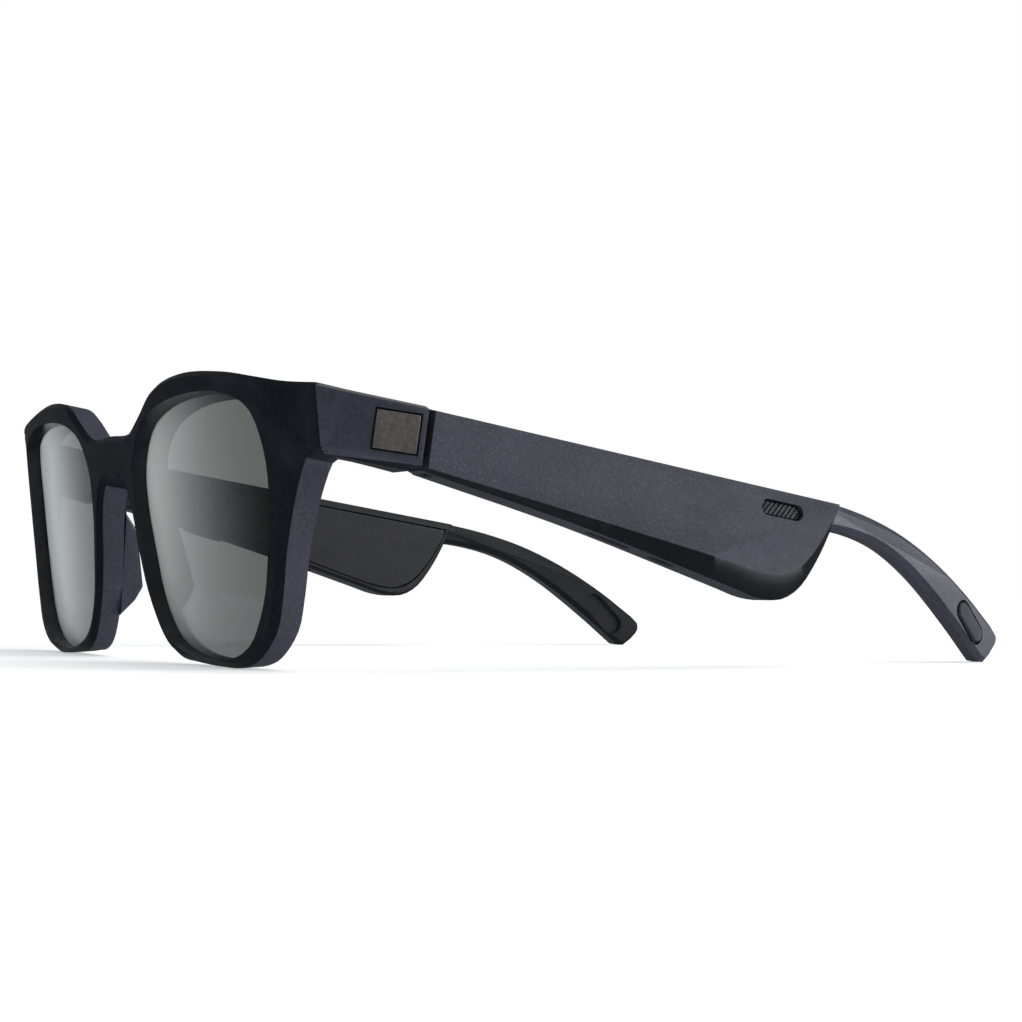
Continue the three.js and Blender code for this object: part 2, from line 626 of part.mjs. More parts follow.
/** The flat battery cell, ahead of the board, with a folded end. */
function battery() {
  const y0 = cavityStart + 3;
  const [z0, z1] = [undersideAt(buttonY) + 5.3, TEMPLE_TOP - WALL - 0.6];
  const cell = [v2(y0, z0), v2(y0 + 26, z0), v2(y0 + 26, z1), v2(y0, z1)];
  const fold = block(packFront + 1, packFront + 1.8, y0 + 25, y0 + 28, z0 + 1, z1 - 1);
  return join(acrossX([
    [inset(cell, 0.4), packFront + 0.4], [cell, packFront + 0.8],
    [cell, packBack - 0.4], [inset(cell, 0.4), packBack],
  ]), fold);
}

/** The circuit board with its chips, between the battery and the speaker. */
function circuitBoard() {
  const y0 = cavityStart + 32.5;
  const z0 = undersideAt(y0) + WALL + 1.2;
  const face = packBack - 1.9;
  const top = TEMPLE_TOP - WALL - 0.6;
  const plate = block(face, face + 0.8, y0, y0 + 13, z0, top);
  const upper = top - z0 - 2.64; // the uppermost chip lies just under the board's top edge
  const chips = [[2, 1.5, 4, 4], [8, 2, 3, 3], [3, upper, 6, 2.4]].map(([y, z, length, height]) => (
    block(face + 0.7, face + 1.9, y0 + y, y0 + y + length, z0 + z, z0 + z + height)
  ));
  return join(plate, ...chips);
}

const speakerCentre = v2(lobeY - 15, TEMPLE_TOP - 11.3);

/** The oval speaker in the lobe: a basket with a domed cone on the head side. */
function speakerDriver() {
  const basket = capsule(15, 9.6, speakerCentre);
  const cone = capsule(11.4, 6, speakerCentre);
  const front = packFront + 1;
  const depth = packBack - front;
  const dish = acrossX([[cone, front - 1], [inset(cone, 1.2), front + 0.28 * depth]]);
  const magnet = capsule(9, 5.6, speakerCentre);
  return join(
    cut(acrossX([[basket, front], [basket, front + 0.64 * depth]]), dish),
    acrossX([[magnet, front + 0.6 * depth], [magnet, packBack]]),
  );
}

/** The soft frame that seals the speaker to the inner cover. */
function speakerGasket() {
  const outer = capsule(15, 9.6, speakerCentre);
  const opening = capsule(12, 6.6, speakerCentre);
  const [x0, x1] = [packFront - CLEAR + 0.1, packFront + 0.7];
  return cut(acrossX([[outer, x0], [outer, x1]]), acrossX([[opening, x0 - 1], [opening, x1 + 1]]));
}

/** The ribbed mesh in the slot of the temple's outer face. */
function rearPortMesh() {
  const plate = capsule(SLOT_LENGTH - 2 * CLEAR, SLOT_WIDTH - 2 * CLEAR, portCentre);
  const [x0, x1] = [HALF_WIDTH - 1.5, HALF_WIDTH - 0.7];
  const ribs = [];
  for (let i = -4; i <= 4; i += 1) {
    const groove = block(x1 - 0.25, x1 + 1, -0.16, 0.16, -3, 3);
    ribs.push(groove.rotateX(-0.6).translate(0, portCentre.x + i, portCentre.y));
  }
  return cut(acrossX([[plate, x0], [plate, x1]]), ...ribs);
}

/** The mesh in one slot of the underside. */
function undersideMesh({ y, length }) {
  return undersideSlot(y, length - 2 * CLEAR, PORT_WIDTH - 2 * CLEAR, 0.4, 1.2);
}

/** The blank raised plaque on the outer side of the temple tip. */
function tipBadge() {
  const plate = capsule(9.6, 3.3, badgeCentre, badgeAngle);
  const face = HALF_WIDTH - HOOK_INSET;
  return bend(acrossX([
    [plate, face - 0.6], [plate, face + 0.2], [inset(plate, 0.3), face + 0.4],
  ]), bendTemple);
}

// ---------------------------------------------------------------- right temple only
const buttonY = gapRear + 24;
const contactY = gapRear + 17;
const statusY = gapRear + 26;
const BUTTON_LENGTH = 9.2;
const CONTACT_RADIUS = 0.9;

/** The opening for the charging contacts, widened by a margin. */
function contactWindow(margin) {
  const outline = capsule(8 + 2 * margin, 4 + 2 * margin, v2(contactY, barrelMiddle + 0.4));
  return acrossX([[outline, innerX - 1], [outline, innerX + 4]]);
}

/** The opening for the status light, widened by a margin. */
function statusWindow(margin) {
  const outline = capsule(2.4 + 2 * margin, 1.6 + 2 * margin, v2(statusY, barrelMiddle + 0.4));
  return acrossX([[outline, innerX - 1], [outline, innerX + 4]]);
}

/** Holes of the right temple's housing: the button's opening and the microphone's. */
function rightOnlyCuts() {
  return [
    undersideSlot(buttonY, BUTTON_LENGTH + 2 * CLEAR, BUTTON_WIDTH + 2 * CLEAR, -3, 4),
    undersideSlot(gapRear + 8, 1.8, 1.2, -3, 1.4),
  ];
}

/** The control button: a capsule key with a flange that stays inside the wall. */
function controlButton() {
  return join(
    undersideSlot(buttonY, BUTTON_LENGTH, BUTTON_WIDTH, -0.55, 2.6),
    undersideSlot(buttonY, BUTTON_LENGTH + 1.4, BUTTON_WIDTH + 2 * BUTTON_FLANGE, 2.5, 3.1),
  );
}

/** The small switch that the button presses. */
function buttonSwitch() {
  const half = BUTTON_WIDTH / 2 - 0.1;
  const box = block(slotX - half, slotX + half, buttonY - 1.6, buttonY + 1.6, 0, 0.8);
  const stem = rod(0.7, at(slotX, buttonY, -0.3), at(slotX, buttonY, 0.1));
  return join(box, stem).translate(0, 0, undersideAt(buttonY) + 4.1);
}

/** The insulating block that carries the charging contacts. */
function chargingBlock() {
  const centre = v2(contactY, barrelMiddle + 0.4);
  const plate = capsule(8, 4, centre);
  const holes = [-2, 2].map((step) => {
    const y = contactY + step;
    return rod(CONTACT_RADIUS + CLEAR, at(innerX - 1, y, centre.y), at(innerX + 0.6, y, centre.y));
  });
  return cut(acrossX([[plate, innerX - 0.1], [plate, innerX + COVER_THICKNESS + 0.4]]), ...holes);
}

/** One charging contact, a round pad in the block. */
function chargingContact(step) {
  const z = barrelMiddle + 0.4;
  return rod(CONTACT_RADIUS, at(innerX - 0.2, contactY + step, z), at(innerX + 0.3, contactY + step, z));
}

/** The clear pin in front of the status light. */
function statusPin() {
  const pin = capsule(2.4, 1.6, v2(statusY, barrelMiddle + 0.4));
  return acrossX([[pin, innerX - 0.1], [pin, innerX + COVER_THICKNESS + 0.2]]);
}

// ---------------------------------------------------------------- pieces
const inlayCentre = v2(gapFront - 4.2, TEMPLE_TOP - 4.6);
const sideCorner = frontDepthAt(CORNER_X, inlayCentre.y, 0.6);
const sideTurn = Math.atan2(HALF_WIDTH - sideCorner.x, gapFront - sideCorner.y);

const INLAY_THICKNESS = 0.9;

/** Where the inner face of the inlay's seat lies, across, at a place along the endpiece. */
const inlaySeatAt = (y) => (
  HALF_WIDTH - Math.tan(sideTurn) * (gapFront - y) - (INLAY_THICKNESS + CLEAR) / Math.cos(sideTurn)
);

/** The square of an endpiece's inlay, or of its seat when a margin is given. */
function inlay(margin, x0, x1) {
  const half = 3.4 + margin;
  const rise = half - 0.4;
  const outline = [v2(-half, -rise), v2(half, -rise), v2(half, rise), v2(-half, rise)];
  const plate = acrossX([[outline, x0], [outline, x1]]);
  const across = HALF_WIDTH - Math.tan(sideTurn) * (gapFront - inlayCentre.x);
  return plate.rotateZ(-sideTurn).translate(across, inlayCentre.x, inlayCentre.y);
}

/** The front: rims, brow, bridge, nose pads and endpieces in one moulding. */
function frontFrame() {
  const cuts = [...hingePocket(-1), inlay(CLEAR, -INLAY_THICKNESS - CLEAR, 1)];
  const grown = [endpiece(), nosePad()];
  return cut(
    join(bend(divide(flatFront()), wrapPlate), ...grown, ...grown.map(mirrored)),
    ...cuts, ...cuts.map(mirrored),
  );
}

/** One lens, seated in its groove with a small gap all round. */
function lens() {
  const outline = inset(openingOutline, CLEAR - GROOVE_DEPTH);
  const [y0, y1] = [GROOVE_START + CLEAR, GROOVE_START + GROOVE_WIDTH - CLEAR];
  return bend(divide(backwards([[outline, y0], [outline, y1]])), wrapFront);
}

/** The pieces of one side, drawn on the wearer's left: name, shape and finish. */
function sidePieces(isRight) {
  const pieces = [
    ['lens', lens(), smokedLens],
    ['endpiece_inlay', inlay(0, -INLAY_THICKNESS, 0), plaque],
    ['hinge_front_leaf', hingeLeaf(-1, [-1, 1]), steel],
    ['hinge_temple_leaf', hingeLeaf(1, [0]), steel],
    ['hinge_screw', hingeScrew(), steel],
    ['front_leaf_screw', fixingScrew(-1), steel],
    ['temple_leaf_screw', fixingScrew(1), steel],
    ['temple_housing', templeHousing(isRight), satinSlate],
    ['temple_inner_cover', innerCover(isRight), innerShell],
    ['battery', battery(), cellWrap],
    ['circuit_board', circuitBoard(), boardGreen],
    ['speaker_driver', speakerDriver(), speakerBlack],
    ['speaker_gasket', speakerGasket(), softGasket],
    ['rear_port_mesh', rearPortMesh(), darkMesh],
    ...undersidePorts.map((port) => [port.name, undersideMesh(port), darkMesh]),
    ['tip_badge', tipBadge(), badge],
  ];
  if (!isRight) return pieces;
  return [
    ...pieces,
    ['control_button', controlButton(), buttonBlack],
    ['button_switch', buttonSwitch(), steel],
    ['charging_block', chargingBlock(), innerShell],
    ['charging_contact_front', chargingContact(-2), darkNickel],
    ['charging_contact_rear', chargingContact(2), darkNickel],
    ['status_light_pin', statusPin(), lightWindow],
  ];
}

/** Adds one named piece to a group. */
function add(group, name, geometry, material) {
  const mesh = new THREE.Mesh(geometry, material());
  mesh.name = name;
  group.add(mesh);
  return mesh;
}

/** The lowest point of the meshes whose names pass a test, at a tilt about X. */
function lowestPoint(group, test, tilt) {
  const lowest = new THREE.Vector3(0, 0, Infinity);
  const point = new THREE.Vector3();
  for (const mesh of group.children.filter((child) => test(child.name))) {
    const place = mesh.geometry.attributes.position;
    for (let i = 0; i < place.count; i += 1) {
      point.fromBufferAttribute(place, i).applyAxisAngle(new THREE.Vector3(1, 0, 0), tilt);
      if (point.z < lowest.z) lowest.copy(point);
    }
  }
  return lowest;
}

/** The tilt at which the rims and the temple tips stand on one level surface. */
function restingTilt(group) {
  let tilt = 0;
  for (let round = 0; round < 12; round += 1) {
    const rim = lowestPoint(group, (name) => name === 'front_frame', tilt);
    const tip = lowestPoint(group, (name) => name.startsWith('temple_housing'), tilt);
    tilt -= Math.atan2(tip.z - rim.z, tip.y - rim.y);
  }
  return tilt;
}

const worn = new THREE.Group();
add(worn, 'front_frame', frontFrame(), glossBlack);
for (const [side, isRight] of [['left', false], ['right', true]]) {
  for (const [name, geometry, material] of sidePieces(isRight)) {
    add(worn, `${name}_${side}`, isRight ? mirrored(geometry) : geometry, material);
  }
}
worn.rotation.x = restingTilt(worn);

const glasses = new THREE.Group();
glasses.name = 'audio_sunglasses';
glasses.add(worn);
glasses.updateMatrixWorld(true);
const bounds = new THREE.Box3().setFromObject(glasses, true);
worn.position.set(0, -(bounds.min.y + bounds.max.y) / 2, -bounds.min.z);

export default glasses;
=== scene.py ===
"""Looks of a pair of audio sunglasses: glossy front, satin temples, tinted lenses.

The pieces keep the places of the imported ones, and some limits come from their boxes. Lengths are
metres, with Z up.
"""

import json
import logging
import math
from dataclasses import dataclass, field
from enum import Enum
from typing import Callable, Iterable, Optional, Union

import bmesh
import bpy
from mathutils import Matrix, Vector

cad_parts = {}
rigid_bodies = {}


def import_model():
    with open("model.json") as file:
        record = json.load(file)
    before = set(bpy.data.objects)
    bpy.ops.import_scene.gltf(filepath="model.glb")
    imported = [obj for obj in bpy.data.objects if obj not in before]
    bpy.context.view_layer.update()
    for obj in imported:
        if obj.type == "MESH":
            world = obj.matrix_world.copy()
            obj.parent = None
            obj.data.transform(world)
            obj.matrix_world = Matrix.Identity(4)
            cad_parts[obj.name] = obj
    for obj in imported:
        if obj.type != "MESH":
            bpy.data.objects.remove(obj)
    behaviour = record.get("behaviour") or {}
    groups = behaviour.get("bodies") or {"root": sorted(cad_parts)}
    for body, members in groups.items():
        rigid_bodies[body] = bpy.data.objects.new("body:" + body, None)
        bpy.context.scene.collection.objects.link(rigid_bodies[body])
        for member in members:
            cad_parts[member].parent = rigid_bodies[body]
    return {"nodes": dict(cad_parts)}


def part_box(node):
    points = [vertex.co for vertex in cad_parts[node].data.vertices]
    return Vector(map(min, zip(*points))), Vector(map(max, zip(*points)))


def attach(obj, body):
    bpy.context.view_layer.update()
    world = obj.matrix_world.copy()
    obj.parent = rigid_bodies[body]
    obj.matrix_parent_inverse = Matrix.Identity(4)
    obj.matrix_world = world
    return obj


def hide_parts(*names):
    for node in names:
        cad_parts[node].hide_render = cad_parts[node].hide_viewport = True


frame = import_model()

Rgb = tuple[float, float, float]
FaceTest = Callable[[Vector, Vector], bool]

MM = 0.001
SHARP_FROM = 0.25  # radians between two faces where an edge starts to be coloured lighter
SHARP_SPAN = 0.5  # from there to a fully lightened edge
LENS_SPAN = 46  # mm across, over which a lens's painted reflection fades
PAINTED_REFLECTION_START = {"LEFT": 9, "RIGHT": -44}  # mm from the middle of the bridge, where each lens's painted reflection is strongest
log = logging.getLogger("sunglasses")


class Side(Enum):
    """The wearer's side that a piece is on, with the sign of its x."""

    LEFT = 1
    RIGHT = -1

    @property
    def tag(self) -> str:
        """The ending that this side's pieces carry in their names."""
        return self.name.lower()


class Direction(Enum):
    """An axis of a piece's own coordinates."""

    X = 0
    Y = 1
    Z = 2


# ------------------------------------------------------------------ shader maths
class Value:
    """A socket that gives numbers, with arithmetic that adds Math nodes."""

    def __init__(self, shop: "Shader", socket: bpy.types.NodeSocket) -> None:
        """Wraps one output.

        Args:
            shop: the material that the socket belongs to.
            socket: the output that gives the number.
        """
        self.shop = shop
        self.socket = socket

    def _with(self, operation: str, first: "Input", second: "Input") -> "Value":
        """Adds one Math node.

        Args:
            operation: the node's operation.
            first: its first number or socket.
            second: its second number or socket.

        Returns:
            The node's output.
        """
        node = self.shop.node("ShaderNodeMath", {"operation": operation}, {0: first, 1: second})
        return Value(self.shop, node.outputs[0])

    def __add__(self, other: "Input") -> "Value":
        """Adds a number or another value."""
        return self._with("ADD", self, other)

    def __radd__(self, other: "Input") -> "Value":
        """Adds this value to a number."""
        return self._with("ADD", other, self)

    def __sub__(self, other: "Input") -> "Value":
        """Takes a number or another value away."""
        return self._with("SUBTRACT", self, other)

    def __rsub__(self, other: "Input") -> "Value":
        """Takes this value away from a number."""
        return self._with("SUBTRACT", other, self)

    def __mul__(self, other: "Input") -> "Value":
        """Multiplies by a number or another value."""
        return self._with("MULTIPLY", self, other)

    def __rmul__(self, other: "Input") -> "Value":
        """Multiplies a number by this value."""
        return self._with("MULTIPLY", other, self)

    def __pow__(self, power: float) -> "Value":
        """Raises this value to a power."""
        return self._with("POWER", self, power)

    def wave(self) -> "Value":
        """Gives the sine of this value."""
        return self._with("SINE", self, 0.0)

    def most(self, other: "Input") -> "Value":
        """Gives the larger of this and another value."""
        return self._with("MAXIMUM", self, other)

    def spread(self, low: float, high: float, new_low: float, new_high: float) -> "Value":
        """Maps a range of this value onto another range and stops at its ends.

        Args:
            low: the value that becomes new_low.
            high: the value that becomes new_high.
            new_low: the result at low and beyond.
            new_high: the result at high and beyond.

        Returns:
            The mapped value.
        """
        node = self.shop.node(
            "ShaderNodeMapRange", {"clamp": True},
            {0: self, 1: low, 2: high, 3: new_low, 4: new_high},
        )
        return Value(self.shop, node.outputs[0])


Input = Union[Value, float, bpy.types.NodeSocket, Rgb]


class Shader:
    """One material: its Principled shader, its coordinates and the nodes around them."""

    def __init__(self, name: str) -> None:
        """Makes the material with a bare Principled shader.

        Args:
            name: the material's name.
        """
        self.material = bpy.data.materials.new(name)
        self.material.use_nodes = True
        tree = self.material.node_tree
        tree.nodes.clear()
        self.nodes, self.links = tree.nodes, tree.links
        self.main = self.nodes.new("ShaderNodeBsdfPrincipled")
        out = self.nodes.new("ShaderNodeOutputMaterial")
        self.links.new(self.main.outputs[0], out.inputs[0])
        self.place = self.node("ShaderNodeTexCoord").outputs["Object"]

    def node(
        self, kind: str, settings: Optional[dict] = None, inputs: Optional[dict] = None
    ) -> bpy.types.Node:
        """Adds any node.

        Args:
            kind: the node's type.
            settings: its properties.
            inputs: values or links of its sockets, by name or number.

        Returns:
            The node.
        """
        made = self.nodes.new(kind)
        for key, value in (settings or {}).items():
            setattr(made, key, value)
        for key, value in (inputs or {}).items():
            self.feed(made.inputs[key], value)
        return made

    def feed(self, socket: bpy.types.NodeSocket, value: Input) -> None:
        """Links or sets one socket.

        Args:
            socket: the socket to fill.
            value: a value, an output, a number or a colour.
        """
        if isinstance(value, Value):
            value = value.socket
        if isinstance(value, bpy.types.NodeSocket):
            self.links.new(value, socket)
        elif isinstance(value, tuple) and len(socket.default_value) == len(value) + 1:
            socket.default_value = (*value, 1)
        else:
            socket.default_value = value

    def noise(self, scale: float, detail: float = 3, stretch: Rgb = (1, 1, 1)) -> Value:
        """Adds a noise on the piece's own coordinates.

        Args:
            scale: how many waves there are in a metre.
            detail: how many finer layers it has.
            stretch: how much the pattern is squeezed along each axis.

        Returns:
            The noise's value, around a half.
        """
        place = self.place
        if stretch != (1, 1, 1):
            place = self.node("ShaderNodeMapping", {}, {0: self.place, 3: stretch}).outputs[0]
        made = self.node("ShaderNodeTexNoise", {}, {"Vector": place, "Scale": scale, "Detail": detail})
        return Value(self, made.outputs[0])

    def cells(self, scale: float) -> Value:
        """Gives the distance to the nearest of many scattered points."""
        made = self.node("ShaderNodeTexVoronoi", {}, {"Vector": self.place, "Scale": scale})
        return Value(self, made.outputs[0])

    def along(self, direction: Direction) -> Value:
        """Gives one coordinate of the surface in metres."""
        split = self.node("ShaderNodeSeparateXYZ", {}, {0: self.place})
        return Value(self, split.outputs[direction.value])

    def painted(self, name: str) -> Value:
        """Gives a number that is stored on the piece's points."""
        made = self.node("ShaderNodeAttribute", {"attribute_name": name})
        return Value(self, made.outputs["Fac"])

    def mix(self, share: Input, low: Input, high: Input) -> bpy.types.NodeSocket:
        """Mixes two colours.

        Args:
            share: how much of the second colour shows.
            low: the first colour.
            high: the second colour.

        Returns:
            The mixed colour.
        """
        made = self.nodes.new("ShaderNodeMix")
        made.data_type = "RGBA"
        for index, value in ((0, share), (6, low), (7, high)):
            self.feed(made.inputs[index], value)
        return made.outputs[2]

    def relief(self, height: Value, distance: float) -> None:
        """Bumps the surface by a height.

        Args:
            height: the pattern.
            distance: how far a height of one stands out, in metres.
        """
        bump = self.node("ShaderNodeBump", {}, {"Distance": distance, "Height": height})
        self.links.new(bump.outputs[0], self.main.inputs["Normal"])

    def set(self, **constants: Input) -> None:
        """Sets or links sockets of the Principled shader; an underscore stands for a space."""
        for key, value in constants.items():
            self.feed(self.main.inputs[key.replace("_", " ")], value)


# ------------------------------------------------------------------ finishes
@dataclass(frozen=True)
class Moulding:
    """Moulded or painted plastic with a fine grain and sharp edges coloured lighter."""

    name: str
    dark: Rgb
    light: Rgb
    grain: float = 3200.0
    cloud: float = 60.0
    fleck: float = 0.0
    fleck_colour: Rgb = (0.3, 0.31, 0.34)
    rough: float = 0.4
    rough_spread: float = 0.1
    bump: float = 4e-6
    edge: Rgb = (0.06, 0.065, 0.08)
    edge_share: float = 0.25
    gloss: float = 0.5
    coat: float = 0.0

    def build(self) -> bpy.types.Material:
        """Makes the material.

        Returns:
            The finished material.
        """
        s = Shader(self.name)
        grain = s.noise(self.grain, 4)
        cloud = s.noise(self.cloud, 3)
        tone = (grain * 0.65 + cloud * 0.35).spread(0.38, 0.62, 0, 1)
        colour = s.mix(tone, self.dark, self.light)
        if self.fleck:
            dots = s.cells(self.grain * 0.55).spread(0.1, 0.32, self.fleck, 0)
            colour = s.mix(dots, colour, self.fleck_colour)
        # Sharp edges are coloured lighter, broken up by a noise.
        edge_lightening = s.painted("edge") * s.noise(self.cloud * 6, 3).spread(0.35, 0.65, 0.5, 1)
        colour = s.mix(edge_lightening * self.edge_share, colour, self.edge)
        smears = s.noise(self.cloud * 2.5, 4, (1, 0.35, 1)).spread(0.35, 0.7, 0, 1)
        s.set(
            Base_Color=colour,
            Roughness=smears * self.rough_spread + (self.rough - self.rough_spread / 2),
            Specular_IOR_Level=self.gloss, Coat_Weight=self.coat, Coat_Roughness=0.08,
        )
        s.relief(grain + cloud * 0.4, self.bump)
        return s.material


@dataclass(frozen=True)
class SunTint:
    """A sun lens with a painted reflection at one end, pale and less see-through, that fades into a clear
    dark tint.
    """

    name: str
    # The colour of the painted reflection at one end, then the lens's own tint.
    sheen: Rgb
    tint: Rgb
    sheen_cover: float
    tint_cover: float
    sheen_x: float
    tint_x: float
    fade_power: float = 2.2

    def build(self) -> bpy.types.Material:
        """Makes the material.

        Returns:
            The finished material.
        """
        s = Shader(self.name)
        haze = s.noise(45, 2)
        smear = s.noise(240, 4, (1, 1, 0.4))
        low, high = sorted((self.sheen_x, self.tint_x))
        # across runs from the painted reflection's end to the tint's end, and fade eases the painted
        # reflection out.
        across = (s.along(Direction.X) + (haze - 0.5) * (2 * MM)).spread(low, high, 0, 1)
        if self.sheen_x > self.tint_x:
            across = 1 - across
        fade = 1 - (1 - across) ** self.fade_power
        s.set(
            Base_Color=s.mix(fade, self.sheen, self.tint),
            Roughness=smear.spread(0.4, 0.7, 0.03, 0.07),
            Alpha=fade.spread(0, 1, self.sheen_cover, self.tint_cover) + (haze - 0.5) * 0.02,
            IOR=1.5, Specular_IOR_Level=0.4,
        )
        s.relief(haze, 2e-6)
        return s.material


@dataclass(frozen=True)
class Metal:
    """Turned or brushed metal with fine tool marks."""

    name: str
    dark: Rgb
    light: Rgb
    rough: float = 0.3
    marks: Rgb = (1, 1, 14)
    scale: float = 900.0

    def build(self) -> bpy.types.Material:
        """Makes the material.

        Returns:
            The finished material.
        """
        s = Shader(self.name)
        lines = s.noise(self.scale, 4, self.marks)
        stain = s.noise(self.scale / 6, 3)
        s.set(
            Base_Color=s.mix((lines * 0.6 + stain * 0.4).spread(0.35, 0.65, 0, 1), self.dark, self.light),
            Metallic=1.0,
            Roughness=lines.spread(0.3, 0.7, self.rough - 0.08, self.rough + 0.12),
        )
        s.relief(lines, 4e-6)
        return s.material


@dataclass(frozen=True)
class Gauze:
    """Fine woven mesh with square holes."""

    name: str
    wire: Rgb
    hole: Rgb
    pitch: float = 0.35 * MM

    def build(self) -> bpy.types.Material:
        """Makes the material.

        Returns:
            The finished material.
        """
        s = Shader(self.name)
        waves = [(s.along(d) * (math.tau / self.pitch)) for d in (Direction.Y, Direction.Z, Direction.X)]
        rows = [one.wave() for one in waves]
        weave = rows[0].most(rows[1].most(rows[2] * 0.8))
        wire = weave.spread(0.1, 0.8, 0, 1)
        s.set(
            Base_Color=s.mix(wire * s.noise(900, 2).spread(0.3, 0.7, 0.7, 1), self.hole, self.wire),
            Metallic=0.6, Roughness=wire.spread(0, 1, 0.7, 0.4),
        )
        s.relief(wire, 40e-6)
        return s.material


@dataclass(frozen=True)
class Ribbed:
    """Moulded plastic with fine slanted ribs along Y."""

    name: str
    rib: Rgb
    gap: Rgb
    pitch: float = 0.5 * MM
    slant: float = 0.65

    def build(self) -> bpy.types.Material:
        """Makes the material.

        Returns:
            The finished material.
        """
        s = Shader(self.name)
        slanted = s.along(Direction.Y) + s.along(Direction.Z) * self.slant
        rib = (slanted * (math.tau / self.pitch)).wave().spread(-0.4, 0.5, 0, 1)
        dust = s.noise(1400, 3).spread(0.3, 0.7, 0.75, 1)
        s.set(
            Base_Color=s.mix(rib * dust, self.gap, self.rib),
            Roughness=rib.spread(0, 1, 0.7, 0.42), Specular_IOR_Level=0.3,
        )
        s.relief(rib, 60e-6)
        return s.material


@dataclass(frozen=True)
class Board:
    """Green circuit board with tracks and pads."""

    name: str
    mask: Rgb = (0.008, 0.06, 0.03)
    track: Rgb = (0.02, 0.12, 0.06)
    pad: Rgb = (0.6, 0.58, 0.5)

    def build(self) -> bpy.types.Material:
        """Makes the material.

        Returns:
            The finished material.
        """
        s = Shader(self.name)
        bricks = s.node(
            "ShaderNodeTexBrick", {"offset": 0.37},
            {
                "Vector": s.node(
                    "ShaderNodeMapping", {}, {0: s.place, 2: (0.0, math.pi / 2, 0.0)}
                ).outputs[0],
                "Scale": 420.0, "Mortar Size": 0.045,
            },
        )
        tracks = Value(s, bricks.outputs["Fac"])
        pads = s.cells(700).spread(0.16, 0.2, 1, 0)
        colour = s.mix(tracks, self.mask, self.track)
        s.set(
            Base_Color=s.mix(pads * 0.8, colour, self.pad),
            Roughness=s.noise(500, 3).spread(0.3, 0.7, 0.3, 0.5),
        )
        s.relief(tracks + pads, 15e-6)
        return s.material


Finish = Union[Moulding, SunTint, Metal, Gauze, Ribbed, Board]

GLOSS_FRONT = Moulding(
    "gloss_navy_black", (0.006, 0.0065, 0.010), (0.010, 0.011, 0.016), grain=1400, cloud=40,
    rough=0.2, rough_spread=0.08, bump=1.2e-6, edge=(0.035, 0.038, 0.052), edge_share=0.5, gloss=0.3,
)
SATIN_SLATE = Moulding(
    "satin_slate", (0.019, 0.0215, 0.031), (0.034, 0.038, 0.053), grain=2600, cloud=70, fleck=0.35,
    fleck_colour=(0.10, 0.107, 0.135), rough=0.56, rough_spread=0.12, bump=9e-6,
    edge=(0.10, 0.107, 0.14), edge_share=0.35, gloss=0.22,
)
# A lighter copy of the satin slate for the ear hook's outer face: a painted reflection of the pale
# surroundings.
HOOK_PAINTED_REFLECTION = Moulding(
    "hook_slate", (0.028, 0.031, 0.044), (0.048, 0.053, 0.073), grain=2600, cloud=70, fleck=0.35,
    fleck_colour=(0.12, 0.13, 0.16), rough=0.45, rough_spread=0.1, bump=6e-6,
    edge=(0.13, 0.14, 0.18), edge_share=0.35, gloss=0.35,
)
# Paler paint on the outer rim walls of the gloss black front: painted side light.
RIM_WALL_PAINTED_LIGHT = Moulding(
    "rim_slate", (0.034, 0.037, 0.051), (0.050, 0.054, 0.073), grain=1600, cloud=45,
    rough=0.3, rough_spread=0.1, bump=2e-6, edge=(0.09, 0.095, 0.125), edge_share=0.4,
)
CHAMFER_BLACK = Moulding(
    "chamfer_black", (0.005, 0.0055, 0.008), (0.009, 0.010, 0.014), grain=2600, cloud=70,
    rough=0.42, bump=6e-6, edge_share=0.15, gloss=0.25,
)
# Paler grey for the temple's underside: painted bounce light from the floor below.
UNDERSIDE_PAINTED_BOUNCE = Moulding(
    "underside_grey", (0.030, 0.032, 0.042), (0.045, 0.048, 0.062), grain=2400, cloud=60,
    rough=0.42, bump=6e-6, edge=(0.1, 0.105, 0.13),
)
INNER_BLACK = Moulding(
    "inner_black", (0.006, 0.0063, 0.009), (0.012, 0.0125, 0.017), grain=1800, cloud=80,
    rough=0.5, bump=8e-6, edge=(0.03, 0.031, 0.039), gloss=0.25,
)
# Paler paint on the gloss black front's side faces behind the corners: painted side light.
FRONT_SIDE_PAINTED_LIGHT = Moulding(
    "endpiece_slate", (0.018, 0.020, 0.029), (0.030, 0.033, 0.046), grain=1600, cloud=45,
    rough=0.26, rough_spread=0.1, bump=2e-6, edge=(0.12, 0.125, 0.16), edge_share=0.4,
)
PLAQUE = Moulding(
    "bronze_grey_plaque", (0.066, 0.057, 0.056), (0.105, 0.093, 0.091), grain=1200, cloud=220,
    rough=0.34, bump=3e-6, edge=(0.2, 0.18, 0.16),
)
BADGE = Moulding(
    "badge_slate", (0.016, 0.017, 0.024), (0.030, 0.032, 0.042), grain=2600, cloud=120,
    rough=0.5, bump=3e-6, edge=(0.16, 0.165, 0.2), edge_share=0.4, gloss=0.22,
)
KEY_BLACK = Moulding("key_black", (0.014, 0.015, 0.020), (0.024, 0.026, 0.033), rough=0.32)
RUBBER = Moulding("foam_rubber", (0.010, 0.010, 0.011), (0.020, 0.020, 0.021), rough=0.85, bump=20e-6)
SPEAKER = Moulding("speaker_black", (0.010, 0.010, 0.011), (0.024, 0.024, 0.026), rough=0.5)
PIN = Moulding("smoked_pin", (0.02, 0.02, 0.022), (0.035, 0.035, 0.038), rough=0.2, bump=1e-6)
FOIL = Metal("foil_pouch", (0.35, 0.36, 0.38), (0.55, 0.56, 0.58), 0.4, (1, 1, 1), 300)
STEEL = Metal("hinge_steel", (0.20, 0.205, 0.21), (0.40, 0.41, 0.42))
